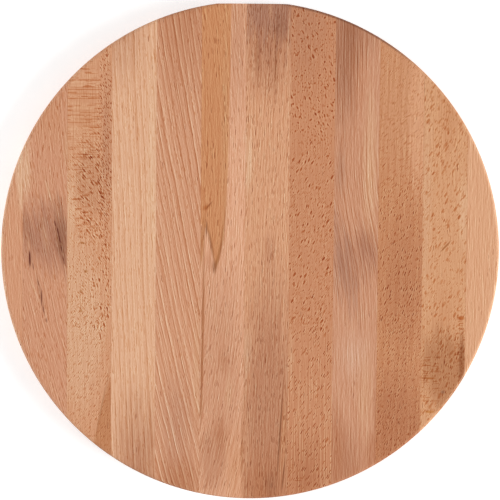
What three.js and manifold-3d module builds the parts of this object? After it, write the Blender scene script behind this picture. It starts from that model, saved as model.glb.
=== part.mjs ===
// Round pizza board: beech staves glued edge to edge and cut to a disc with eased arrises.
// Millimetres, +Z up. The origin is on the underside at the board's axis, and the grain runs along Y.
import * as THREE from "three";
import { mergeVertices, toCreasedNormals } from "three/addons/utils/BufferGeometryUtils.js";
import Module from "manifold-3d";

const wasm = await Module();
wasm.setup();

// Driving dimensions
const BOARD_DIAMETER = 350;
const BOARD_THICKNESS = 18;
const ARRIS_RADIUS = 2.5; // roundover along the upper and lower edge of the rim
const FLAT_LENGTH = 50; // short flat at +Y, cut after the rounding, to stand the board on edge
const STAVE_WIDTH = 31;
const GLUE_FILM = 0.15; // cured glue in each edge joint
const JOINT_OFFSET = -3.9; // from the board's axis to the edge joint beside it, along X
const LEAST_EDGE_STAVE = 8; // a narrower piece at the rim is never glued on

// Fineness of the rounded faces
const RIM_STEPS = 96; // half the number of facets round the rim
const ARRIS_STEPS = 5;
const CREASE_ANGLE = THREE.MathUtils.degToRad(25);

// Finish: oiled beech, each stave from another plank, so no two neighbours have one tone
const STAVE_TONES = [
  "#d19877", "#c68f71", "#cc9673", "#d9a886", "#ca9372", "#cb926f",
  "#c38c6b", "#c38763", "#c58e70", "#c38662", "#cc946c", "#dba681",
];
const GLUE_TONE = "#a9714d";
const OILED_ROUGHNESS = 0.55;
const GLUE_ROUGHNESS = 0.4;

const radius = BOARD_DIAMETER / 2;
const flatReach = Math.sqrt(radius ** 2 - (FLAT_LENGTH / 2) ** 2); // from the board's axis to the flat
const pitch = STAVE_WIDTH + GLUE_FILM;

// A closed geometry as a solid for cutting. Only positions are kept, so that shared corners merge.
function solidOf(geometry) {
  geometry.deleteAttribute("normal");
  geometry.deleteAttribute("uv");
  const merged = mergeVertices(geometry);
  return new wasm.Manifold(
    new wasm.Mesh({
      numProp: 3,
      vertProperties: merged.getAttribute("position").array,
      triVerts: new Uint32Array(merged.index.array),
    }),
  );
}

// A cut solid as a geometry, with sharp normals at its edges and smooth ones round the rim.
function geometryOf(solid) {
  const { vertProperties, triVerts } = solid.getMesh();
  const geometry = new THREE.BufferGeometry();
  geometry.setAttribute("position", new THREE.BufferAttribute(vertProperties, 3));
  geometry.setIndex(new THREE.BufferAttribute(triVerts, 1));
  return toCreasedNormals(geometry, CREASE_ANGLE);
}

// A block between two planes across X, ended by a third across Y, and proud of the board elsewhere.
function block(left, right, far) {
  const proud = BOARD_THICKNESS;
  const outline = new THREE.Shape();
  outline.moveTo(left, -BOARD_DIAMETER);
  outline.lineTo(right, -BOARD_DIAMETER);
  outline.lineTo(right, far);
  outline.lineTo(left, far);
  outline.closePath();
  const geometry = new THREE.ExtrudeGeometry(outline, {
    depth: BOARD_THICKNESS + 2 * proud,
    bevelEnabled: false,
  });
  return solidOf(geometry.translate(0, 0, -proud));
}

// The whole disc, with both arrises rounded over and then the flat cut.
function boardBlank() {
  const outline = new THREE.Shape();
  outline.absarc(0, 0, radius, 0, 2 * Math.PI);
  const disc = new THREE.ExtrudeGeometry(outline, {
    depth: BOARD_THICKNESS - 2 * ARRIS_RADIUS,
    curveSegments: RIM_STEPS,
    bevelSize: ARRIS_RADIUS,
    bevelThickness: ARRIS_RADIUS,
    bevelOffset: -ARRIS_RADIUS,
    bevelSegments: ARRIS_STEPS,
  });
  const rounded = solidOf(disc.translate(0, 0, ARRIS_RADIUS));
  return rounded.intersect(block(-BOARD_DIAMETER, BOARD_DIAMETER, flatReach));
}

// The two faces of each edge joint, from left to right. The staves and the glue share these planes.
function edgeJoints() {
  const reach = radius - LEAST_EDGE_STAVE;
  const first = Math.ceil((-reach - JOINT_OFFSET) / pitch);
  const last = Math.floor((reach - JOINT_OFFSET) / pitch);
  const joints = [];
  for (let i = first; i <= last; i++) {
    const middle = JOINT_OFFSET + i * pitch;
    joints.push({ left: middle - GLUE_FILM / 2, right: middle + GLUE_FILM / 2 });
  }
  return joints;
}

function piece(name, solid, color, roughness) {
  const material = new THREE.MeshStandardMaterial({ color, roughness, metalness: 0 });
  const mesh = new THREE.Mesh(geometryOf(solid), material);
  mesh.name = name;
  return mesh;
}

const numbered = (name, index) => `${name}_${String(index + 1).padStart(2, "0")}`;

const blank = boardBlank();
const joints = edgeJoints();

const staves = new THREE.Group();
for (let i = 0; i <= joints.length; i++) {
  const left = i === 0 ? -BOARD_DIAMETER : joints[i - 1].right;
  const right = i === joints.length ? BOARD_DIAMETER : joints[i].left;
  const tone = STAVE_TONES[i % STAVE_TONES.length];
  const solid = blank.intersect(block(left, right, BOARD_DIAMETER));
  staves.add(piece(numbered("stave", i), solid, tone, OILED_ROUGHNESS));
}

const glueLines = new THREE.Group();
joints.forEach(({ left, right }, i) => {
  const solid = blank.intersect(block(left, right, BOARD_DIAMETER));
  glueLines.add(piece(numbered("glue_line", i), solid, GLUE_TONE, GLUE_ROUGHNESS));
});

const board = new THREE.Group();
board.name = "pizza_board";
board.add(staves, glueLines);

export default board;
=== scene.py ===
"""Looks of a round pizza board: oiled beech staves glued edge to edge, seen from above on a white table.

Metres in the CAD frame: X runs across the staves, Y along the grain and Z up out of the serving face.
The figure of each stave is given in millimetres from the middle of that stave and from the board's middle.
"""

import math
from dataclasses import dataclass

import bpy
from mathutils import Matrix, Vector


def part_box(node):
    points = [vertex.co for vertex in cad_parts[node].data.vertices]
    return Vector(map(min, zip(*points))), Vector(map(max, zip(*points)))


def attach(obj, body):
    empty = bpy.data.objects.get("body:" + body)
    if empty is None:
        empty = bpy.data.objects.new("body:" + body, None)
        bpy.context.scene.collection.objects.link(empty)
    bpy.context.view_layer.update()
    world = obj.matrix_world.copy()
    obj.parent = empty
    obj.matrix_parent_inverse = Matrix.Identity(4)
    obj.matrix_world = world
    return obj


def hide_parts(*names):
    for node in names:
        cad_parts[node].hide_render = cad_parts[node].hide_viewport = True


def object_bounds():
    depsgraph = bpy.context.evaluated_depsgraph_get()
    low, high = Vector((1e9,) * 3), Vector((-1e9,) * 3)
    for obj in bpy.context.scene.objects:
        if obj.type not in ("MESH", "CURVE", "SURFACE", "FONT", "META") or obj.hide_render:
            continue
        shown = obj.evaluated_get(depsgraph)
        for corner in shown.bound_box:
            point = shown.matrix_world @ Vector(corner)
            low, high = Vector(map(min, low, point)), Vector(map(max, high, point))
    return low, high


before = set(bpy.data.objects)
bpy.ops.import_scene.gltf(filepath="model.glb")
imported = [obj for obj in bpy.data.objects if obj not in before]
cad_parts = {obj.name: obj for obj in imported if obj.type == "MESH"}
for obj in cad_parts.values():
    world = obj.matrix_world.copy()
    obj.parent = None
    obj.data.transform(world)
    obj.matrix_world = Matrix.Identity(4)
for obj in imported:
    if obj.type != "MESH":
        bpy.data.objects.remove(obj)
cad_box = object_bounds()

# Sizes of the board, from the frame, and the roundover of its rim
LOW, HIGH = cad_box
RIM_RADIUS = (HIGH.x - LOW.x) / 2
THICKNESS = HIGH.z - LOW.z
FLAT_REACH = HIGH.y
ARRIS = 0.0025
STAVE_NODES = sorted(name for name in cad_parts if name.startswith("stave"))
GLUE_NODES = sorted(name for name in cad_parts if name.startswith("glue_line"))

# Fineness of the meshes
STAVE_COLUMNS = 25
GLUE_COLUMNS = 2
ROWS = 97
SHARP_ANGLE = math.radians(35)
MERGE_DISTANCE = 1e-6

# Camera, as the photograph was taken
IMAGE_SIDE = 500
FOCAL_PIXELS = 1710
SENSOR = 36.0
CAMERA_DISTANCE = 1.2
CAMERA_LEAN = math.radians(3.05)
CAMERA_SIDE_LEAN = math.radians(-0.41)
CAMERA_ROLL = math.radians(0.49)
CAMERA_AIM = Vector((-0.00024, 0.00135, THICKNESS))

# Light of the room, and the name, place, side and power of each softbox
ROOM_LIGHT = 0.352
SOFTBOXES = [
    ("right_softbox", (3.15, -0.85, 1.6), 1.8, 119),
    ("left_softbox", (-3.2, 0.55, 1.6), 1.8, 71),
]
WHITE = (1, 1, 1, 1)

# Table
TABLE_SIDE = 6.0
TABLE_CLEARANCE = 0.0003
TABLE_GLOW = 0.42
TABLE_ROUGHNESS = 0.9
TABLE_TONES = ("#efefef", "#f3f3f3")
TABLE_DUST = 40.0  # swings for each metre
DUST_SPREAD = 0.3

# Millimetres in a metre
MM = 1000.0


def linear(tone):
    """A written sRGB colour such as #d19877 as linear RGBA."""
    shares = [int(tone[i:i + 2], 16) / 255 for i in (1, 3, 5)]
    curve = [s / 12.92 if s <= 0.04045 else ((s + 0.055) / 1.055) ** 2.4 for s in shares]
    return (*curve, 1.0)


class Nodes:
    """Adds nodes to a tree.

    An input that is given a socket is linked, and any other value is written to it.
    """

    def __init__(self, tree):
        self.tree = tree

    def put(self, socket, value):
        if isinstance(value, bpy.types.NodeSocket):
            self.tree.links.new(value, socket)
        else:
            socket.default_value = value

    def add(self, kind, inputs=None, **settings):
        node = self.tree.nodes.new(kind)
        for name, value in settings.items():
            setattr(node, name, value)
        for name, value in (inputs or {}).items():
            self.put(node.inputs[name], value)
        return node

    def math(self, operation, *values):
        return self.add("ShaderNodeMath", dict(enumerate(values)), operation=operation).outputs[0]

    def total(self, first, *others):
        for other in others:
            first = self.math("ADD", first, other)
        return first

    def product(self, first, *others):
        for other in others:
            first = self.math("MULTIPLY", first, other)
        return first

    def difference(self, first, second):
        return self.math("SUBTRACT", first, second)

    def ratio(self, first, second):
        return self.math("DIVIDE", first, second)

    def slant(self, a, b):
        """The length of the long side of a right triangle on a and b."""
        return self.math("SQRT", self.total(self.product(a, a), self.product(b, b)))

    def step(self, value, start, end, low=0.0, high=1.0):
        """A smooth step from low at start to high at end."""
        inputs = {"Value": value, "From Min": start, "From Max": end, "To Min": low, "To Max": high}
        return self.add("ShaderNodeMapRange", inputs, interpolation_type="SMOOTHSTEP").outputs[0]

    def blend(self, share, first, second):
        """The mix of two numbers by a share."""
        inputs = {0: share, 2: first, 3: second}
        return self.add("ShaderNodeMix", inputs, data_type="FLOAT").outputs[0]

    def colour(self, share, first, second, blend_type="MIX"):
        """The mix of two colours by a share."""
        inputs = {0: share, 6: first, 7: second}
        return self.add("ShaderNodeMix", inputs, data_type="RGBA", blend_type=blend_type).outputs[2]

    def vector(self, x, y, z):
        return self.add("ShaderNodeCombineXYZ", {"X": x, "Y": y, "Z": z}).outputs[0]

    def parts(self, vector):
        return self.add("ShaderNodeSeparateXYZ", {"Vector": vector}).outputs

    def channels(self, colour):
        return self.add("ShaderNodeSeparateColor", {"Color": colour}).outputs

    def spot(self, scale, middle=0.0):
        """The Object coordinates, counted across from a middle and scaled."""
        inputs = {
            "Vector": self.add("ShaderNodeTexCoord").outputs["Object"],
            "Location": (-middle * scale, 0.0, 0.0),
            "Scale": (scale, scale, scale),
        }
        return self.add("ShaderNodeMapping", inputs).outputs[0]

    def noise(self, vector, detail=2.0):
        """Noise about zero, mostly between -0.5 and 0.5, with one swing for each unit of the vector."""
        inputs = {"Vector": vector, "Scale": 1.0, "Detail": detail}
        node = self.add("ShaderNodeTexNoise", inputs, noise_dimensions="3D")
        return self.difference(node.outputs["Fac"], 0.5)

    def drift(self, across, along, swings, seed, detail=2.0):
        """Slow noise with so many swings for each millimetre across and along."""
        place = self.vector(self.product(across, swings[0]), self.product(along, swings[1]), seed)
        return self.noise(place, detail)

    def seen(self):
        """1 for what the camera sees, straight or by way of gloss or glass, and 0 for any other light."""
        path = self.add("ShaderNodeLightPath").outputs
        rays = self.total(path["Is Camera Ray"], path["Is Glossy Ray"], path["Is Transmission Ray"])
        return self.math("MINIMUM", rays, 1.0)


FLOAT = "NodeSocketFloat"
INTEGER = "NodeSocketInt"
VECTOR = "NodeSocketVector"
GEOMETRY = "NodeSocketGeometry"
MATERIAL = "NodeSocketMaterial"


def node_group(name, kind, inputs, outputs):
    """An empty node group with named sockets, its builder, and its input and output nodes' sockets."""
    tree = bpy.data.node_groups.new(name, kind)
    for in_out, sockets in (("INPUT", inputs), ("OUTPUT", outputs)):
        for socket, socket_type in sockets.items():
            tree.interface.new_socket(socket, in_out=in_out, socket_type=socket_type)
    nodes = Nodes(tree)
    return tree, nodes, nodes.add("NodeGroupInput").outputs, nodes.add("NodeGroupOutput").inputs


def new_finish(name):
    """A new material, its node tree and its shader."""
    material = bpy.data.materials.new(name)
    material.use_nodes = True
    return material, material.node_tree, material.node_tree.nodes["Principled BSDF"]


# Shape of the staves and the glue films

def slice_tree():
    """A slice of the board between two planes across X: a sheet on the disc, raised and rounded over."""
    inputs = {
        "Left": FLOAT, "Right": FLOAT, "Rim Radius": FLOAT, "Flat Reach": FLOAT, "Thickness": FLOAT,
        "Arris": FLOAT, "Columns": INTEGER, "Rows": INTEGER, "Finish": MATERIAL,
    }
    tree, n, given, made = node_group("board slice", "GeometryNodeTree", inputs, {"Geometry": GEOMETRY})
    tree.is_modifier = True

    def moved(geometry, place):
        return n.add("GeometryNodeSetPosition", {"Geometry": geometry, "Position": place}).outputs[0]

    def merged(geometry):
        inputs = {"Geometry": geometry, "Distance": MERGE_DISTANCE}
        return n.add("GeometryNodeMergeByDistance", inputs).outputs[0]

    radius = given["Rim Radius"]
    sheet = n.add("GeometryNodeMeshGrid", {
        "Size X": 1.0, "Size Y": 1.0, "Vertices X": given["Columns"], "Vertices Y": given["Rows"],
    }).outputs["Mesh"]

    # Columns step by equal angles of the disc, and rows crowd towards the rim
    place = n.parts(n.add("GeometryNodeInputPosition").outputs[0])
    first = n.math("ARCSINE", n.ratio(given["Left"], radius))
    last = n.math("ARCSINE", n.ratio(given["Right"], radius))
    angle = n.blend(n.total(place[0], 0.5), first, last)
    x = n.product(radius, n.math("SINE", angle))
    half_chord = n.product(radius, n.math("COSINE", angle))
    share = n.math("MULTIPLY_ADD", n.math("SINE", n.product(place[1], math.pi)), 0.5, 0.5)
    far = n.math("MINIMUM", half_chord, given["Flat Reach"])
    y = n.blend(share, n.product(half_chord, -1.0), far)
    laid = merged(moved(sheet, n.vector(x, y, 0.0)))

    # The underside is the sheet turned over, and the serving face is the sheet raised by one unit
    under = n.add("GeometryNodeFlipFaces", {"Mesh": laid}).outputs[0]
    raised = n.add("GeometryNodeExtrudeMesh", {
        "Mesh": laid, "Offset": (0.0, 0.0, 1.0), "Offset Scale": 1.0, "Individual": False,
    }).outputs["Mesh"]
    join = n.add("GeometryNodeJoinGeometry")
    for part in (under, raised):
        n.put(join.inputs[0], part)
    closed = merged(join.outputs[0])

    # Both faces fall away to the rim by a quarter round
    place = n.parts(n.add("GeometryNodeInputPosition").outputs[0])
    arris = given["Arris"]
    inset = n.difference(radius, n.slant(place[0], place[1]))
    short = n.math("MINIMUM", n.math("MAXIMUM", n.difference(arris, inset), 0.0), arris)
    fall = n.difference(n.product(arris, arris), n.product(short, short))
    fall = n.difference(arris, n.math("SQRT", n.math("MAXIMUM", fall, 0.0)))
    z = n.blend(place[2], fall, n.difference(given["Thickness"], fall))
    shaped = moved(closed, n.vector(place[0], place[1], z))

    # Round faces are smooth, and the joint faces meet them at a sharp edge
    smooth = n.add("GeometryNodeSetShadeSmooth", {"Geometry": shaped, "Shade Smooth": True}, domain="FACE")
    bend = n.add("GeometryNodeInputMeshEdgeAngle").outputs["Unsigned Angle"]
    sharp = n.add("GeometryNodeSetShadeSmooth", {
        "Geometry": smooth.outputs[0],
        "Selection": n.math("GREATER_THAN", bend, SHARP_ANGLE),
        "Shade Smooth": False,
    }, domain="EDGE")
    real = n.add("GeometryNodeRealizeInstances", {"Geometry": sharp.outputs[0]}).outputs[0]
    dressed = n.add("GeometryNodeSetMaterial", {"Geometry": real, "Material": given["Finish"]})
    n.put(made["Geometry"], dressed.outputs[0])
    return tree


def board_slice(name, tree, node, columns, finish):
    """A stave or a glue film as a plain mesh, in the place of its CAD node."""
    low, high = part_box(node)
    piece = bpy.data.objects.new(name, bpy.data.meshes.new(name))
    bpy.context.scene.collection.objects.link(piece)
    modifier = piece.modifiers.new("slice", "NODES")
    modifier.node_group = tree
    values = {
        "Left": max(low.x, -RIM_RADIUS), "Right": min(high.x, RIM_RADIUS), "Rim Radius": RIM_RADIUS,
        "Flat Reach": FLAT_REACH, "Thickness": THICKNESS, "Arris": ARRIS,
        "Columns": columns, "Rows": ROWS, "Finish": finish,
    }
    for item in tree.interface.items_tree:
        if item.in_out == "INPUT":
            modifier[item.identifier] = values[item.name]
    graph = bpy.context.evaluated_depsgraph_get()
    mesh = bpy.data.meshes.new_from_object(piece.evaluated_get(graph), depsgraph=graph)
    piece.modifiers.clear()
    piece.data = mesh
    mesh.name = name
    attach(piece, "root")
    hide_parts(node)


# Figure of the wood

# Tones of beech that the features of the staves take
SAPWOOD = "#e8bf9c"
HONEY = "#d8a580"
AMBER = "#ca8b61"
COPPER = "#b67551"
RUSSET = "#bb8060"
HEARTWOOD = "#a87159"
HEART_SHADE = "#a46e53"
UMBER = "#8f5c44"
DARK_BAND = "#a0613c"
EDGE_LINE = "#a8663c"
MINERAL_LINE = "#8a5233"
BARK_STREAK = "#5e1608"
STREAK_HALO = "#8a5638"
PITH_FLECK = "#b5733f"
END_GRAIN = "#c39a80"

# What is left of red, green and blue where the grain, or a cut ray in it, is one step deep, and what
# a step back to light wood divides them by
GRAIN_TINT = (0.58, 0.35, 0.21)
RAY_TINT = (0.65, 0.36, 0.19)
LIGHT_TINT = (0.62, 0.35, 0.28)

# Slow noises of the wood: swings for each millimetre across and along the grain
GRAIN_DRIFT = (0.05, 0.012)
STREAKINESS = (0.5, 0.05)
RING_DRIFT = (0.08, 0.014)
FLECK_STIR = (0.5, 0.3)
FLECK_GATHERING = (0.4, 0.04)

# Millimetres that the slow drift moves the grain for each unit of noise
DRIFT_REACH = 3.0

# Streaks: swings for each millimetre of depth, and how finely they break up
STREAK_DEPTH_SWINGS = 0.1
STREAK_DETAIL = 3.0

# Takes noise to between -1 and 1
FULL_SWING = 2.0

# Steps of the seeds, from stave to stave, from layer to layer and from one bundle of fibres to the next
STAVE_SEED = 20.0
LAYER_SEED = 3.7
BUNDLE_SEED = 3.7

# Width in millimetres of a bundle of fibres in the fine grain
FIBRE_WIDTH = 0.6

# Rim: each tone comes in between two values of one part of the normal: up, along the fibres or outward
ARRIS_FROM_FACE = (0.97, 0.85)
ARRIS_FROM_SIDE = (0.2, 0.5)
ALONG_FIBRES = (0.5, 0.2)
ACROSS_FIBRES = (0.3, 0.95)
SIDE_FROM_ARRIS = (0.7, 0.3)
# Outward parts of the normal at which the painted shade on one side of the rim starts and is full
PAINTED_SHADE_FROM_FACE = (0.2, 0.45)
ARRIS_PALENESS = 0.4
END_GRAIN_SHADE = 0.6
# Strength of the painted shade on one side of the rim
PAINTED_RIM_SHADE = 0.8

# Side of the rim that is darkened with painted shade, where the light falls less: its direction across and
# along the staves, and the cosines of the angles from it at which the painted shade starts and is full
PAINTED_SHADE_SIDE = (0.39, 0.92)
PAINTED_SHADE_REACH = (0.94, 0.99)

# Oiled surface: roughness from light grain to deep grain, and the relief of the grain
GRAIN_DEPTHS = (-0.2, 0.6)
BEECH_ROUGHNESS = (0.65, 0.8)
BEECH_GLOSS = 0.2
GRAIN_RELIEF = 0.0002
RELIEF_STRENGTH = 0.12

# Cured glue
GLUE_TONE = "#bb8760"
GLUE_CLOUDS = 0.15  # swings for each millimetre
CLOUD_SPREAD = 0.2
GLUE_ROUGHNESS = 0.4


@dataclass
class Mark:
    """A soft patch, line or streak of another tone. Places and sizes are across and along the stave."""
    tone: str
    at: tuple
    half: tuple
    strength: float
    lean: float = 0.0  # across for each millimetre along
    core: float = 0.0  # share of the size that has the full strength
    ragged: float = 0.3


@dataclass
class Pores:
    """Pores cut lengthwise: small lens-shaped flecks, each in a cell of its own, with light flanks."""
    cell: tuple
    cover: float  # share of the cells that hold a fleck
    dark: float
    light: float = 0.0
    lean: float = 0.0
    fill: float = 0.9  # size of the largest flecks as a share of the room in a cell
    zone: Mark = None


@dataclass
class Rays(Pores):
    """Cut rays, which are shaped like pores and are redder."""


@dataclass
class Strokes:
    """Bundles of fibres, each as wide as the size says, that turn dark and light along their length."""
    size: tuple
    dark: float
    light: float
    zone: Mark = None


@dataclass
class Rings:
    """Growth rings: each darkens to a thin line and starts again with a thin light one."""
    spacing: float
    dark: float
    light: float
    wander: float = 0.4
    whole: float = 0.4  # strength where a line is weakest
    zone: Mark = None


@dataclass
class Tongue:
    """A growth ring that the saw has cut through. It opens along the stave from its tip."""
    tone: str
    tip: tuple
    right_reach: float
    growth: float  # length over which the right border swings out
    left_slope: float  # how fast the left border leaves the tip
    left_flare: float  # length at which the left border turns away
    rim: str  # tone of the dark right border
    rim_length: float


@dataclass
class Stave:
    """One plank's tone and figure."""
    tone: str
    layers: list
    lean: float = 0.0
    bow: float = 0.0  # change of the lean for each millimetre along
    sway: tuple = (0.0, 0.0, 50.0)  # shift of the grain across, where along, and over which length


def zone(at, half, core=0.5):
    """A place that a layer is held to. Only its share is used, and not its tone."""
    return Mark("#ffffff", at, half, 1.0, core=core)


def mark_group():
    """The share of a mark at a place, from 0 outside its ragged edge to 1 in its core."""
    inputs = {
        "Place": VECTOR, "Streaks": FLOAT, "Across": FLOAT, "Along": FLOAT, "Half Width": FLOAT,
        "Half Length": FLOAT, "Lean": FLOAT, "Core": FLOAT, "Ragged": FLOAT,
    }
    tree, n, given, made = node_group("mark", "ShaderNodeTree", inputs, {"Share": FLOAT})
    place = n.parts(given["Place"])
    along = n.difference(place[1], given["Along"])
    across = n.difference(place[0], given["Across"])
    across = n.difference(across, n.product(along, given["Lean"]))
    reach = n.slant(n.ratio(across, given["Half Width"]), n.ratio(along, given["Half Length"]))
    reach = n.total(reach, n.product(given["Streaks"], given["Ragged"], FULL_SWING))
    n.put(made["Share"], n.step(reach, 1.0, given["Core"]))
    return tree


def fleck_group():
    """The depth of lens-shaped flecks with light flanks at a place in the grain."""
    inputs = {
        "Grain": VECTOR, "Width": FLOAT, "Length": FLOAT, "Lean": FLOAT, "Cover": FLOAT, "Fill": FLOAT,
        "Dark": FLOAT, "Light": FLOAT, "Seed": FLOAT,
    }
    tree, n, given, made = node_group("flecks", "ShaderNodeTree", inputs, {"Depth": FLOAT})
    stir_across, stir_along = 0.6, 0.4  # cells that the stir moves them by
    sink = 0.3  # cells along for each millimetre of depth
    smallest, largest = 0.22, 0.46  # half widths of flecks in cells
    gathering = 0.8  # how far the cover changes where flecks gather
    faintest = 0.35  # depth of the faintest flecks
    lens_core = 0.6  # share of its size inside which a fleck is full
    near_end, near_full = 2.8, 1.4  # reach of the light wood round a fleck, in sizes of the fleck
    side_start, side_full = 0.6, 1.2  # how far beside its middle the light wood lies, in the same sizes

    # Cells of the flecks, stirred out of their rows
    grain = n.parts(given["Grain"])
    stir = n.drift(grain[0], grain[1], FLECK_STIR, given["Seed"])
    across = n.difference(grain[0], n.product(grain[1], given["Lean"]))
    u = n.total(n.ratio(across, given["Width"]), given["Seed"], n.product(stir, stir_across))
    v = n.ratio(grain[1], given["Length"])
    v = n.total(v, n.product(stir, stir_along), n.product(grain[2], sink))
    place = {"Vector": n.vector(u, v, 0.0), "Scale": 1.0}
    cells = n.add("ShaderNodeTexVoronoi", place, voronoi_dimensions="2D").outputs
    chance = n.channels(cells["Color"])
    centre = n.parts(cells["Position"])

    # Chance decides which cells keep a fleck, how large it is and how dark
    size = n.product(n.blend(chance[1], smallest, largest), given["Fill"])
    middle_across = n.product(centre[0], given["Width"])
    middle_along = n.product(centre[1], given["Length"])
    gather = n.drift(middle_across, middle_along, FLECK_GATHERING, given["Seed"])
    cover = n.total(given["Cover"], n.product(gather, gathering))
    kept = n.product(n.math("LESS_THAN", chance[0], cover), n.blend(chance[2], faintest, 1.0))

    # A lens, and light wood at its two sides
    away = cells["Distance"]
    beside = n.math("ABSOLUTE", n.difference(u, centre[0]))
    lens = n.step(away, size, n.product(size, lens_core))
    near = n.step(away, n.product(size, near_end), n.product(size, near_full))
    sides = n.step(beside, n.product(size, side_start), n.product(size, side_full))
    flank = n.product(near, sides, given["Light"])
    n.put(made["Depth"], n.product(n.difference(n.product(lens, given["Dark"]), flank), kept))
    return tree


def stroke_group():
    """The depth of bundles of fibres at a place in the grain. Each is set against its neighbour."""
    inputs = {
        "Grain": VECTOR, "Width": FLOAT, "Length": FLOAT, "Dark": FLOAT, "Light": FLOAT, "Seed": FLOAT,
    }
    tree, n, given, made = node_group("strokes", "ShaderNodeTree", inputs, {"Depth": FLOAT})
    depth_swings = 0.4  # for each millimetre of depth
    full = 0.35  # difference between neighbours at which a bundle is darkest or lightest
    grain = n.parts(given["Grain"])
    bundle = n.math("FLOOR", n.ratio(grain[0], given["Width"]))
    v = n.ratio(grain[1], given["Length"])
    w = n.total(n.product(grain[2], depth_swings), given["Seed"])

    def fibres(number):
        return n.noise(n.vector(n.product(number, BUNDLE_SEED), v, w), 0.0)

    wave = n.difference(fibres(bundle), fibres(n.total(bundle, 1.0)))
    dark = n.product(n.step(wave, 0.0, full), given["Dark"])
    light = n.product(n.step(wave, 0.0, -full), given["Light"])
    n.put(made["Depth"], n.difference(dark, light))
    return tree


def ring_group():
    """The depth of the growth rings at a place in the grain."""
    inputs = {
        "Grain": VECTOR, "Spacing": FLOAT, "Wander": FLOAT, "Dark": FLOAT, "Light": FLOAT, "Whole": FLOAT,
        "Seed": FLOAT,
    }
    tree, n, given, made = node_group("growth rings", "ShaderNodeTree", inputs, {"Depth": FLOAT})
    dip = 0.6  # how far rings move across for each millimetre of depth
    crowd_swings, crowding = 0.8, 0.7  # swings for each ring, and rings that they move by
    break_swings = 0.1  # for each millimetre along
    weakest_at, full_at = -0.2, 0.15  # noise at which a broken line is weakest, and is full
    line = 0.04  # share of a ring that its line's sharp side takes
    late_start, late_power = 0.35, 3.0  # share of a ring where late wood starts, and how fast it darkens
    early_end, early_power = 0.45, 2.5  # share of a ring where early wood ends, and how fast it fades
    faintest = 0.35  # depth of the faintest lines

    # The number of the ring, and the share of it that is behind
    grain = n.parts(given["Grain"])
    seed = given["Seed"]
    wander = n.drift(grain[0], grain[1], RING_DRIFT, n.total(seed, grain[2]))
    number = n.ratio(n.total(grain[0], n.product(grain[2], dip)), given["Spacing"])
    number = n.total(number, seed, n.product(wander, given["Wander"], FULL_SWING))
    crowd = n.noise(n.vector(n.product(number, crowd_swings), seed, 0.0), 0.0)
    number = n.total(number, n.product(crowd, crowding))
    ring = n.math("FLOOR", number)
    share = n.difference(number, ring)

    # Each ring has lines of its own depth, which break along the stave
    chance = n.add("ShaderNodeTexWhiteNoise", {"W": n.total(ring, seed)}, noise_dimensions="1D")
    chance = n.channels(chance.outputs["Color"])
    broken = n.noise(n.vector(ring, n.product(grain[1], break_swings), seed))
    broken = n.step(broken, weakest_at, full_at, given["Whole"], 1.0)
    late = n.math("POWER", n.step(share, late_start, 1.0 - line), late_power)
    late = n.product(late, n.step(share, 1.0, 1.0 - line), n.blend(chance[0], faintest, 1.0))
    early = n.math("POWER", n.step(share, early_end, line), early_power)
    early = n.product(early, n.step(share, 0.0, line), n.blend(chance[1], faintest, 1.0))
    depth = n.difference(n.product(late, given["Dark"]), n.product(early, given["Light"]))
    n.put(made["Depth"], n.product(depth, broken))
    return tree


def tongue_group():
    """The shares of a tongue and of its rim at a place on the stave."""
    inputs = {
        "Place": VECTOR, "Streaks": FLOAT, "Across": FLOAT, "Along": FLOAT, "Right Reach": FLOAT,
        "Growth": FLOAT, "Left Slope": FLOAT, "Left Flare": FLOAT, "Rim Length": FLOAT,
    }
    tree, n, given, made = node_group("tongue", "ShaderNodeTree", inputs, {"Share": FLOAT, "Rim": FLOAT})
    uneven = 0.8  # millimetres that the streaks move the borders
    right_slope = 0.012  # how far the right border moves out for each millimetre along
    flare_power = 8.0  # how suddenly the left border turns away
    border = (-0.4, 0.7)  # soft edge of the tongue, in millimetres inside its borders
    rim_middle = 0.5  # millimetres inside the right border
    rim_band = (1.8, 0.2)  # millimetres from that middle where the rim ends, and is full
    rim_before_tip = (-6.0, 4.0)  # millimetres along from the tip where the rim starts, and is full
    rim_from_left = (-0.8, 0.4)  # millimetres inside the left border where it starts, and is full

    # Distances inside the left and the right border
    place = n.parts(given["Place"])
    along = n.difference(place[1], given["Along"])
    across = n.difference(place[0], given["Across"])
    across = n.total(across, n.product(given["Streaks"], uneven))
    opened = n.math("MAXIMUM", along, 0.0)
    thin = n.math("EXPONENT", n.ratio(opened, n.product(given["Growth"], -1.0)))
    swing = n.product(given["Right Reach"], n.difference(1.0, thin))
    right = n.difference(n.total(swing, n.product(opened, right_slope)), across)
    flare = n.total(n.math("POWER", n.ratio(opened, given["Left Flare"]), flare_power), 1.0)
    left = n.total(across, n.product(opened, given["Left Slope"], flare))

    # The rim fades along the tongue and before its tip
    n.put(made["Share"], n.step(n.math("MINIMUM", left, right), *border))
    band = n.step(n.math("ABSOLUTE", n.difference(right, rim_middle)), *rim_band)
    fade = n.product(n.step(opened, given["Rim Length"], 0.0), n.step(along, *rim_before_tip))
    n.put(made["Rim"], n.product(band, fade, n.step(left, *rim_from_left)))
    return tree


MARK = mark_group()
FLECK = fleck_group()
STROKE = stroke_group()
RING = ring_group()
TONGUE = tongue_group()


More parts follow.
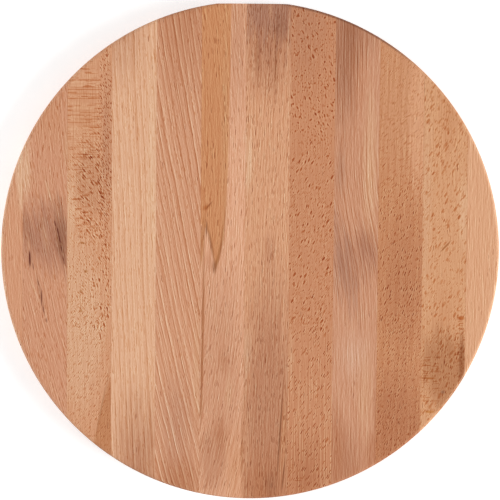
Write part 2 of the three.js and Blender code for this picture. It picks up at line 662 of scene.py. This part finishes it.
class Wood(Nodes):
    """The node tree of one stave's finish, built up layer by layer."""

    def __init__(self, tree, stave, middle, seed):
        super().__init__(tree)
        self.seed = seed
        self.place = self.spot(MM, middle)
        x, y, z = self.parts(self.place)
        shift, where, over = stave.sway
        turn = self.math("TANH", self.ratio(self.difference(y, where), over))
        drift = self.drift(x, y, GRAIN_DRIFT, self.total(z, seed))
        lean = self.math("MULTIPLY_ADD", y, stave.bow / 2, stave.lean)
        wander = self.product(drift, DRIFT_REACH)
        flow = self.total(self.product(y, lean), self.product(turn, shift), wander)
        across = self.difference(x, flow)
        self.grain = self.vector(across, y, z)
        below = self.product(z, STREAK_DEPTH_SWINGS)
        self.streaks = self.drift(across, y, STREAKINESS, below, STREAK_DETAIL)
        self.tone = linear(stave.tone)
        self.grain_depth = 0.0
        self.ray_depth = 0.0

    def next_seed(self):
        self.seed += LAYER_SEED
        return self.seed

    def use(self, tree, inputs):
        """The outputs of a node group with these inputs."""
        return self.add("ShaderNodeGroup", inputs, node_tree=tree).outputs

    def share(self, mark):
        """Where a mark lies."""
        return self.use(MARK, {
            "Place": self.place, "Streaks": self.streaks, "Across": mark.at[0], "Along": mark.at[1],
            "Half Width": mark.half[0], "Half Length": mark.half[1], "Lean": mark.lean,
            "Core": mark.core, "Ragged": mark.ragged,
        })["Share"]

    def stain(self, share, tone):
        self.tone = self.colour(share, self.tone, linear(tone))

    def held(self, depth, limit):
        """The depth of a layer of grain, held to a zone if it has one."""
        if limit is None:
            return depth
        return self.product(depth, self.share(limit))

    def lay_mark(self, mark):
        self.stain(self.product(self.share(mark), mark.strength), mark.tone)

    def flecked(self, flecks):
        """The depth of a layer of pores or rays."""
        made = self.use(FLECK, {
            "Grain": self.grain, "Width": flecks.cell[0], "Length": flecks.cell[1], "Lean": flecks.lean,
            "Cover": flecks.cover, "Fill": flecks.fill, "Dark": flecks.dark, "Light": flecks.light,
            "Seed": self.next_seed(),
        })
        return self.held(made["Depth"], flecks.zone)

    def lay_pores(self, pores):
        self.grain_depth = self.total(self.grain_depth, self.flecked(pores))

    def lay_rays(self, rays):
        self.ray_depth = self.total(self.ray_depth, self.flecked(rays))

    def lay_strokes(self, strokes):
        made = self.use(STROKE, {
            "Grain": self.grain, "Width": strokes.size[0], "Length": strokes.size[1],
            "Dark": strokes.dark, "Light": strokes.light, "Seed": self.next_seed(),
        })
        self.grain_depth = self.total(self.grain_depth, self.held(made["Depth"], strokes.zone))

    def lay_rings(self, rings):
        made = self.use(RING, {
            "Grain": self.grain, "Spacing": rings.spacing, "Wander": rings.wander, "Dark": rings.dark,
            "Light": rings.light, "Whole": rings.whole, "Seed": self.next_seed(),
        })
        self.grain_depth = self.total(self.grain_depth, self.held(made["Depth"], rings.zone))

    def lay_tongue(self, tongue):
        made = self.use(TONGUE, {
            "Place": self.place, "Streaks": self.streaks, "Across": tongue.tip[0], "Along": tongue.tip[1],
            "Right Reach": tongue.right_reach, "Growth": tongue.growth, "Left Slope": tongue.left_slope,
            "Left Flare": tongue.left_flare, "Rim Length": tongue.rim_length,
        })
        self.stain(made["Share"], tongue.tone)
        self.stain(made["Rim"], tongue.rim)

    def lay(self, layer):
        ways = {
            Mark: self.lay_mark, Pores: self.lay_pores, Rays: self.lay_rays, Strokes: self.lay_strokes,
            Rings: self.lay_rings, Tongue: self.lay_tongue,
        }
        ways[type(layer)](layer)

    def grained(self):
        """The tone, darkened where the grain is deep and lightened where its depth is less than zero."""
        tone = self.tone
        depths = (self.grain_depth, self.ray_depth)
        deep = [self.math("MAXIMUM", depth, 0.0) for depth in depths]
        light = self.total(*[self.math("MINIMUM", depth, 0.0) for depth in depths])
        for tint, depth in ((GRAIN_TINT, deep[0]), (RAY_TINT, deep[1]), (LIGHT_TINT, light)):
            red, green, blue = [self.math("POWER", share, depth) for share in tint]
            shade = self.add("ShaderNodeCombineColor", {"Red": red, "Green": green, "Blue": blue})
            tone = self.colour(1.0, tone, shade.outputs[0], "MULTIPLY")
        return tone

    def rim(self):
        """The sanded arris is paler along the fibres. Cut fibres are darker. One side of the rim is
        darkened with painted shade, where the light falls less.
        """
        normal = self.parts(self.add("ShaderNodeTexCoord").outputs["Normal"])
        up = self.math("ABSOLUTE", normal[2])
        cut = self.math("ABSOLUTE", normal[1])
        arris = self.product(self.step(up, *ARRIS_FROM_FACE), self.step(up, *ARRIS_FROM_SIDE))
        self.stain(self.product(arris, self.step(cut, *ALONG_FIBRES), ARRIS_PALENESS), SAPWOOD)
        side = self.step(up, *SIDE_FROM_ARRIS)
        ends = self.product(self.step(cut, *ACROSS_FIBRES), side, END_GRAIN_SHADE)
        self.tone = self.colour(ends, self.tone, linear(END_GRAIN), "MULTIPLY")
        # Painted shade: the rim is darkened on its side towards +Y and a little +X
        across, along = PAINTED_SHADE_SIDE
        out = self.math("SQRT", self.difference(1.0, self.product(up, up)))
        toward = self.total(self.product(normal[0], across), self.product(normal[1], along))
        painted_shade = self.step(self.ratio(toward, out), *PAINTED_SHADE_REACH)
        self.stain(self.product(painted_shade, self.step(out, *PAINTED_SHADE_FROM_FACE), PAINTED_RIM_SHADE), UMBER)


def beech(name, stave, middle, seed):
    """Oiled beech with the figure of one stave."""
    material, tree, bsdf = new_finish(name)
    wood = Wood(tree, stave, middle, seed)
    for layer in stave.layers:
        wood.lay(layer)
    wood.rim()
    wood.put(bsdf.inputs["Base Color"], wood.grained())
    depth = wood.total(wood.grain_depth, wood.ray_depth)
    wood.put(bsdf.inputs["Roughness"], wood.step(depth, *GRAIN_DEPTHS, *BEECH_ROUGHNESS))
    hollow = wood.product(depth, -1.0)
    relief = {"Height": hollow, "Strength": RELIEF_STRENGTH, "Distance": GRAIN_RELIEF}
    wood.put(bsdf.inputs["Normal"], wood.add("ShaderNodeBump", relief).outputs[0])
    bsdf.inputs["Specular IOR Level"].default_value = BEECH_GLOSS
    return material


def plain_grain(depth, pores=0.0):
    """The fine grain that every stave has: fibres of three lengths, and pores cut lengthwise."""
    return [
        Strokes((FIBRE_WIDTH, 30), 1.1 * depth, 0.8 * depth),
        Strokes((FIBRE_WIDTH, 7), 1.1 * depth, 0.8 * depth),
        Strokes((FIBRE_WIDTH, 1.4), 0.4 * depth, 0.4 * depth),
        Pores((0.8, 8), pores, 1.4, 0.3, fill=0.8),
    ]


# Places on the eighth stave that hold more than one layer
EIGHTH_TOP = zone((0, 130), (40, 66), 0.8)
EIGHTH_MIDDLE = zone((0, 10), (40, 72), 0.8)

# Staves from left to right. Marks lie over one another in the order given, and the grain over them all.
STAVES = {
    "stave_01": Stave("#d79b78", lean=-0.05, layers=[
        Mark(SAPWOOD, (8, 54), (7, 34), 0.6, core=0.4),
        *plain_grain(0.21, 0.05),
    ]),
    "stave_02": Stave("#d39776", lean=-0.17, bow=0.001, layers=[
        Mark("#a26c58", (1, 9), (24, 34), 0.6, lean=-0.15, core=0.2, ragged=0.5),
        Mark(UMBER, (11.5, 12), (7.5, 36), 0.75, lean=-0.1, ragged=0.5),
        Mark(UMBER, (-13, 14), (5, 22), 0.42, lean=-0.1, ragged=0.5),
        Mark(HONEY, (0, 10), (4, 20), 0.3, lean=-0.2),
        Mark(AMBER, (2, 95), (20, 45), 0.3, lean=-0.2),
        Mark(HONEY, (15, 72), (4, 22), 0.5),
        Mark(SAPWOOD, (-13, 56), (5, 30), 0.6),
        Mark("#a5623a", (3.8, 39), (0.8, 14), 0.6, lean=-0.29),
        Mark(SAPWOOD, (2.6, 41), (0.8, 15), 0.7, lean=-0.29),
        Mark(SAPWOOD, (-8, -26), (0.9, 17), 0.6, lean=-0.41),
        Mark(COPPER, (11.3, 108), (0.8, 4), 0.9),
        Mark(COPPER, (-2.5, 89), (0.8, 4), 0.8),
        *plain_grain(0.22),
        Rays((0.8, 7), 0.3, 1.1, 0.3),
        Mark(STREAK_HALO, (10.3, 6), (2.2, 18), 0.6, lean=-0.22, ragged=0.2),
        Mark(STREAK_HALO, (-10.2, -7), (2.0, 9), 0.5, ragged=0.2),
        Mark(STREAK_HALO, (-3, -31), (1.9, 22), 0.4, lean=-0.2, ragged=0.2),
        Mark(BARK_STREAK, (7.1, 18.8), (0.6, 3.4), 0.8, lean=-0.25, core=0.4),
        Mark(BARK_STREAK, (9, 13.5), (0.6, 3.6), 0.85, lean=-0.25, core=0.4),
        Mark(BARK_STREAK, (10.3, 8), (0.7, 4.6), 0.9, lean=-0.25, core=0.4),
        Mark(BARK_STREAK, (11.6, 1.2), (0.6, 4.2), 0.8, lean=-0.22, core=0.3),
        Mark(BARK_STREAK, (13.2, -7), (0.6, 5), 0.75, lean=-0.22, core=0.3),
        Mark(BARK_STREAK, (-10.6, -5.6), (1.0, 8.0), 0.9, lean=-0.03, core=0.4, ragged=0.15),
        Mark(BARK_STREAK, (-8.2, -11.4), (0.6, 3.6), 0.6, lean=-0.1, core=0.3),
        Mark(BARK_STREAK, (-4.6, -23), (0.6, 3.6), 0.6, lean=-0.25, core=0.3),
        Mark(BARK_STREAK, (-2.3, -33.5), (0.7, 7.6), 0.8, core=0.3),
        Mark(BARK_STREAK, (-1, -41.5), (0.6, 3.8), 0.7, lean=-0.1, core=0.3),
        Mark(BARK_STREAK, (1.3, -49.3), (0.6, 2.6), 0.6, lean=-0.1, core=0.3),
    ]),
    "stave_03": Stave("#d59a75", layers=[
        Mark("#ddab88", (-6, -52), (22, 78), 0.75, core=0.4),
        Mark(RUSSET, (12, 70), (6.5, 78), 0.62),
        Mark(AMBER, (-3, 96), (12, 24), 0.36),
        Mark("#bd7c52", (13, -125), (8, 55), 0.8, lean=0.2, core=0.75, ragged=0.12),
        Mark(SAPWOOD, (-14.5, 26), (9, 58), 0.44),
        Mark("#c48a67", (0, 50), (13, 32), 0.65, core=0.4),
        Rays((60, 1.6), 0.95, 0.55, 0.15, fill=0.75, zone=zone((-4, 100), (14, 48), 0.85)),
        Rays((16, 1.5), 0.7, 0.65, 0.15, fill=0.8, zone=zone((-4, 96), (14, 46), 0.85)),
        Rays((9, 2.2), 0.9, 0.8, 0.15, lean=-0.2, fill=0.9, zone=zone((-5, 42), (9, 36), 0.6)),
        Rays((2.4, 5), 0.7, 1.5, 0.3, lean=-0.7, fill=0.85, zone=zone((2, 40), (11, 40), 0.7)),
        Rays((1.4, 2.8), 0.8, 0.8, 0.35, lean=-0.8, zone=zone((0, 48), (22, 44), 0.7)),
        Rays((1.1, 3.0), 1.1, 1.6, 0.3, lean=-0.45, zone=zone((11, 72), (6.5, 88), 0.7)),
        Rays((1.2, 2.6), 0.7, 1.0, 0.35, lean=-0.4, zone=zone((0, -22), (22, 52), 0.7)),
        Mark("#b06a35", (-4.8, 5.4), (2.2, 1.2), 0.85, lean=-0.8, core=0.4, ragged=0.05),
        Mark(PITH_FLECK, (-2.4, -14.6), (1.7, 1.6), 0.8, core=0.4, ragged=0.05),
        Mark(PITH_FLECK, (-5.8, -28.6), (1.5, 1.5), 0.7, core=0.4, ragged=0.05),
        Mark(PITH_FLECK, (-5.8, -42.4), (1.6, 1.5), 0.75, core=0.4, ragged=0.05),
        Rays((2.2, 7), 0.5, 1.5, 0.3, lean=-0.25, fill=0.7, zone=zone((9, -25), (9, 50), 0.7)),
        Rays((1.1, 3.0), 0.8, 0.85, 0.35, lean=0.6, zone=zone((-2, -108), (24, 90), 0.7)),
        Mark("#a0653c", (9.5, -108), (1.1, 30), 0.6, lean=0.2),
        *plain_grain(0.12),
    ]),
    "stave_04": Stave("#e4b18e", lean=-0.05, layers=[
        Mark(RUSSET, (-9, 154), (24, 50), 0.5),
        Mark(SAPWOOD, (12.5, 60), (5, 115), 0.45, ragged=0.1),
        Mark(RUSSET, (4, -164), (28, 90), 0.9),
        Rings(4.0, 0.37, 0.18, wander=0.3, whole=0.5),
        Rings(3.2, 0.4, 0.05, zone=zone((0, -140), (28, 55))),
        Rays((0.9, 18), 0.32, 0.6, 0.2, lean=-0.03, fill=0.8),
        Rays((0.8, 4.5), 0.3, 0.5, 0.2, lean=-0.12),
        *plain_grain(0.11),
    ]),
    "stave_05": Stave("#d69c7a", lean=-0.2, bow=0.0003, layers=[
        Mark(COPPER, (3, 174), (30, 95), 0.6),
        Mark("#bf886c", (0, -125), (20, 60), 0.6),
        Mark(COPPER, (2, -164), (24, 28), 0.8),
        Mark(HONEY, (13.5, -80), (4.5, 62), 0.55),
        Rings(4.2, 0.55, 0.5, wander=0.35, whole=0.75),
        *plain_grain(0.2),
        Rays((0.8, 5), 0.2, 0.9, 0.2, fill=0.8),
    ]),
    "stave_06": Stave("#e3aa88", lean=0.05, bow=-0.001, layers=[
        Mark(RUSSET, (-2, -85), (28, 110), 0.46, core=0.25),
        Mark(RUSSET, (9, 150), (14, 85), 0.5),
        Tongue(
            "#ce8d61", tip=(-5.2, -13), right_reach=8, growth=22, left_slope=0.17, left_flare=33,
            rim="#ab6d42", rim_length=66,
        ),
        Mark("#c08255", (-14.6, 6), (2.2, 24), 0.85, lean=0.08, core=0.5, ragged=0.1),
        Mark("#9a6039", (-8.2, 5.6), (1.8, 17), 0.75, lean=-0.2, core=0.1, ragged=0.1),
        Mark("#d1976c", (1, 95), (4, 115), 0.8),
        Mark("#b0602e", (-12, 31), (3.6, 3.4), 0.85, lean=0.5),
        Mark("#8f4f2a", (-9.8, 32.4), (1.0, 4), 0.7, lean=0.8, core=0.3, ragged=0.1),
        Mark("#8a5a3c", (-11.4, 16), (0.9, 8), 0.7, lean=0.03, core=0.3, ragged=0.1),
        Mark("#96603f", (-5.6, -10.5), (2.4, 7), 0.7, core=0.2, ragged=0.15),
        Mark(AMBER, (10, -155), (12, 45), 0.5),
        Mark(COPPER, (-1, -130), (7, 24), 0.75),
        Mark(RUSSET, (-7, -150), (13, 32), 0.6, core=0.3),
        Mark(COPPER, (-9.5, -8), (5, 12), 0.4),
        Mark(HONEY, (5, -100), (5, 18), 0.4),
        Mark(COPPER, (2, -78), (6, 15), 0.5),
        Mark(EDGE_LINE, (-13.6, -60), (1.3, 100), 0.8, lean=0.012, core=0.3),
        Mark(EDGE_LINE, (14.8, -140), (1.6, 50), 0.7),
        *plain_grain(0.22, 0.2),
    ]),
    "stave_07": Stave("#daa07b", lean=0.03, layers=[
        Mark(RUSSET, (0, 150), (28, 58), 0.9, core=0.1),
        Mark(DARK_BAND, (-8, 142), (2.2, 34), 0.55),
        Mark(DARK_BAND, (5, 138), (2.2, 38), 0.55),
        Mark("#ad7860", (0, 178), (40, 44), 0.95, core=0.3, ragged=0.6),
        Mark(UMBER, (8, 158), (7, 20), 0.45, ragged=0.5),
        Mark(HONEY, (1, 168), (2, 9), 0.4),
        Mark(SAPWOOD, (-13, 62), (4.5, 30), 0.6),
        Mark(SAPWOOD, (-13, -70), (4.5, 26), 0.7),
        Mark(RUSSET, (2, -120), (28, 145), 0.9, core=0.3),
        Mark(COPPER, (0, -168), (30, 40), 0.9),
        Mark(RUSSET, (2, 0), (8, 20), 0.45),
        Mark(UMBER, (4, -164), (8, 16), 0.35),
        Mark(AMBER, (13, -130), (4.5, 46), 0.6),
        Rings(5.5, 0.16, 0.12, zone=zone((0, 110), (24, 75))),
        *plain_grain(0.22, 0.42),
        Pores((0.8, 6), 0.5, 1.0, 0.2, fill=0.8, zone=zone((0, 150), (28, 50))),
        Mark(MINERAL_LINE, (10.4, -128), (0.9, 46), 0.8, lean=0.057, core=0.4),
        Mark(MINERAL_LINE, (13, -158), (0.8, 18), 0.7, lean=0.1, core=0.4),
    ]),
    "stave_08": Stave("#ca8b66", layers=[
        Mark(RUSSET, (-5, 168), (28, 76), 0.8),
        Mark(HONEY, (-14, -72), (4, 34), 0.5),
        Mark(COPPER, (-2, -160), (26, 46), 0.9),
        Rays((2.8, 5.6), 0.36, 1.4, 0.25, lean=-0.4, fill=0.7, zone=EIGHTH_TOP),
        Rays((4.0, 4.4), 0.36, 1.3, 0.2, lean=0.3, fill=0.56, zone=EIGHTH_TOP),
        Rays((1.1, 2.6), 0.6, 1.0, 0.25, zone=EIGHTH_TOP),
        Rays((2.9, 6.2), 0.55, 1.5, 0.3, lean=0.35, fill=0.64, zone=EIGHTH_MIDDLE),
        Rays((1.0, 3.4), 0.68, 1.0, 0.3, lean=0.6, zone=EIGHTH_MIDDLE),
        Rays((1.3, 5.2), 0.6, 1.6, 0.4, lean=0.5, fill=0.8, zone=zone((0, -110), (40, 75), 0.8)),
        Rays((9, 1.5), 0.6, 0.5, zone=zone((-9, -158), (8, 13))),
        *plain_grain(0.11),
        Strokes((0.7, 30), 0.2, 0.3, zone=zone((0, -130), (40, 70))),
    ]),
    "stave_09": Stave("#d19878", sway=(-8, 12, 40), layers=[
        Mark(HEART_SHADE, (-9, 145), (14, 80), 0.65, core=0.2),
        Mark(HEART_SHADE, (2, 156), (22, 34), 0.5),
        Mark("#dba985", (9.5, 60), (8, 74), 0.85),
        Mark("#b07d63", (-11, 58), (6, 28), 0.5),
        Mark(HEARTWOOD, (9, 3), (11, 24), 0.65, lean=-0.2, ragged=0.7),
        Mark("#ab7b66", (-9, -7), (13, 52), 0.66, lean=-0.2, ragged=0.7),
        Mark(HEARTWOOD, (0, -6), (16, 28), 0.4, lean=-0.2, ragged=0.7),
        Mark("#dcae93", (0, -72), (16, 26), 0.6),
        Mark(HONEY, (8, -100), (9, 50), 0.5),
        Mark(RUSSET, (-5, -150), (18, 42), 0.9),
        Mark(COPPER, (-13, -141), (9, 44), 0.65, core=0.3),
        Mark(COPPER, (13, -148), (8, 28), 0.6, core=0.3),
        Mark(COPPER, (2, -164), (12, 22), 0.5),
        Mark(COPPER, (15, -112), (2.4, 40), 0.6),
        Rings(3.4, 0.35, 0.05),
        Rings(3.0, 0.65, 0.25, zone=zone((0, 22), (30, 76))),
        Strokes((0.9, 60), 0.45, 0.05, zone=zone((-8, 130), (16, 70))),
        *plain_grain(0.21),
    ]),
    "stave_10": Stave("#c98a62", lean=0.04, layers=[
        Mark("#ce926b", (-1, 118), (28, 85), 0.95, core=0.35),
        Mark("#daa07a", (12.5, 96), (10, 72), 0.95, core=0.45),
        Mark(COPPER, (2, -20), (28, 75), 0.66),
        Mark(COPPER, (-2, -132), (28, 71), 0.88, core=0.3),
        Strokes((1.6, 50), 0.1, 0.08),
        Rays((1.2, 4), 0.4, 0.6, 0.15, lean=0.4, fill=0.8, zone=zone((0, 115), (40, 40), 0.6)),
        Rays((1.6, 5), 0.5, 1.1, 0.2, lean=0.95, fill=0.7, zone=zone((0, 66), (40, 42), 0.6)),
        Rays((1.4, 5.4), 0.55, 1.8, 0.4, lean=0.25, fill=0.75, zone=zone((0, 0), (40, 64), 0.7)),
        Rays((1.1, 3.8), 0.65, 1.6, 0.4, lean=0.35, fill=0.8, zone=zone((0, -105), (40, 78), 0.7)),
        Rays((0.9, 2.8), 0.6, 0.7, 0.3, lean=0.7),
        *plain_grain(0.09),
    ]),
    "stave_11": Stave("#d69d74", layers=[
        Mark(HONEY, (-13, 40), (5.5, 115), 0.7),
        Mark(AMBER, (2, 101), (9, 47), 0.68),
        Mark(SAPWOOD, (13, 28), (5.5, 38), 0.45),
        Mark(AMBER, (0, -42), (12, 32), 0.5),
        Mark("#b67b54", (1, -83), (22, 40), 0.9, lean=-0.15, core=0.4, ragged=0.4),
        Rays((10, 1.5), 0.6, 0.6, 0.1, zone=zone((-8, -90), (9, 32))),
        Rays((6, 1.5), 0.6, 0.6, 0.1, zone=zone((12.5, -62), (5, 34))),
        Mark("#9c5e38", (13.2, -75), (3.6, 31), 0.9, core=0.2),
        Mark("#b5622a", (12.6, -45.4), (3.2, 2.2), 0.9, core=0.4, ragged=0.1),
        Mark("#a9612f", (-9.6, -88.2), (6.2, 1.0), 0.9, core=0.4, ragged=0.05),
        Mark("#c07a3e", (-8.7, -112), (5, 1.3), 0.85, core=0.4, ragged=0.1),
        Mark("#9c5a33", (-3.9, -73), (1.7, 2.4), 0.8),
        Mark("#a5622f", (0.8, 4.9), (1.2, 5), 0.85, lean=0.9, core=0.4, ragged=0.1),
        Mark("#8a7264", (0.5, -97.9), (2.2, 2.0), 0.6),
        Rays((2.8, 5.6), 0.4, 0.62, 0.1, lean=0.4, fill=0.85),
        Rays((3.2, 8), 0.25, 0.6, lean=0.35, fill=0.7),
        Rays((2.4, 5), 0.4, 0.7, 0.1, lean=0.4, fill=0.85, zone=zone((0, 100), (30, 50))),
        Rays((1.0, 3.2), 0.6, 0.75, 0.25, lean=0.5),
        Rays((1.6, 3.4), 0.5, 1.1, 0.2, lean=0.2, zone=zone((5, -78), (14, 36))),
        *plain_grain(0.09),
    ]),
    "stave_12": Stave("#dea680", layers=plain_grain(0.19)),
}


def glue_finish(name):
    """Cured glue, slightly clouded."""
    material, tree, bsdf = new_finish(name)
    n = Nodes(tree)
    cloud = n.noise(n.spot(MM * GLUE_CLOUDS))
    share = n.step(cloud, -CLOUD_SPREAD, CLOUD_SPREAD)
    n.put(bsdf.inputs["Base Color"], n.colour(share, linear(GLUE_TONE), linear(COPPER)))
    bsdf.inputs["Roughness"].default_value = GLUE_ROUGHNESS
    return material


slices = slice_tree()
for number, node in enumerate(STAVE_NODES):
    low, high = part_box(node)
    finish = beech(f"beech of {node}", STAVES[node], (low.x + high.x) / 2, STAVE_SEED * number)
    board_slice(f"oiled_{node}", slices, node, STAVE_COLUMNS, finish)
glue = glue_finish("cured glue")
for node in GLUE_NODES:
    board_slice(f"cured_{node}", slices, node, GLUE_COLUMNS, glue)


# Camera, light and table

def add_camera():
    """A camera over the board that leans a little off straight down."""
    toward = Vector((math.sin(CAMERA_SIDE_LEAN), math.sin(CAMERA_LEAN), 0))
    toward.z = math.sqrt(1 - toward.x ** 2 - toward.y ** 2)
    level = Vector((0, 1, 0)).cross(toward).normalized()
    upright = toward.cross(level)
    right = math.cos(CAMERA_ROLL) * level + math.sin(CAMERA_ROLL) * upright
    up = math.cos(CAMERA_ROLL) * upright - math.sin(CAMERA_ROLL) * level
    data = bpy.data.cameras.new("camera")
    data.sensor_width = SENSOR
    data.lens = FOCAL_PIXELS * SENSOR / IMAGE_SIDE
    view = bpy.data.objects.new("camera", data)
    place = CAMERA_AIM + CAMERA_DISTANCE * toward
    turn = Matrix((right, up, toward)).transposed().to_4x4()
    view.matrix_world = Matrix.Translation(place) @ turn
    bpy.context.scene.collection.objects.link(view)
    bpy.context.scene.camera = view


def add_room():
    """A room that is white to the camera, and lights the board evenly and less brightly."""
    world = bpy.data.worlds.new("soft room")
    bpy.context.scene.world = world
    world.use_nodes = True
    n = Nodes(world.node_tree)
    back = world.node_tree.nodes["Background"]
    back.inputs["Color"].default_value = WHITE
    n.put(back.inputs["Strength"], n.blend(n.seen(), ROOM_LIGHT, 1.0))


def add_softbox(name, place, side, power):
    """A square light that faces the middle of the board."""
    data = bpy.data.lights.new(name, "AREA")
    data.size = side
    data.energy = power
    lamp = bpy.data.objects.new(name, data)
    lamp.location = place
    lamp.rotation_euler = (-Vector(place)).to_track_quat("-Z", "Y").to_euler()
    bpy.context.scene.collection.objects.link(lamp)


def white_table():
    """Matt white that keeps the board's shadow. The camera and mirror-like rays see it a bit brighter."""
    material, tree, bsdf = new_finish("white table")
    n = Nodes(tree)
    dust = n.noise(n.spot(TABLE_DUST))
    share = n.step(dust, -DUST_SPREAD, DUST_SPREAD)
    dusty, clean = TABLE_TONES
    n.put(bsdf.inputs["Base Color"], n.colour(share, linear(dusty), linear(clean)))
    bsdf.inputs["Roughness"].default_value = TABLE_ROUGHNESS
    bsdf.inputs["Emission Color"].default_value = WHITE
    n.put(bsdf.inputs["Emission Strength"], n.product(n.seen(), TABLE_GLOW))
    return material


def add_table():
    """A wide flat table just under the board."""
    side = TABLE_SIDE / 2
    corners = [(-side, -side), (side, -side), (side, side), (-side, side)]
    mesh = bpy.data.meshes.new("table")
    mesh.from_pydata([(x, y, -TABLE_CLEARANCE) for x, y in corners], [], [(0, 1, 2, 3)])
    table = bpy.data.objects.new("table", mesh)
    mesh.materials.append(white_table())
    bpy.context.scene.collection.objects.link(table)


add_camera()
add_room()
for softbox in SOFTBOXES:
    add_softbox(*softbox)
add_table()
bpy.context.scene.view_settings.view_transform = "Standard"
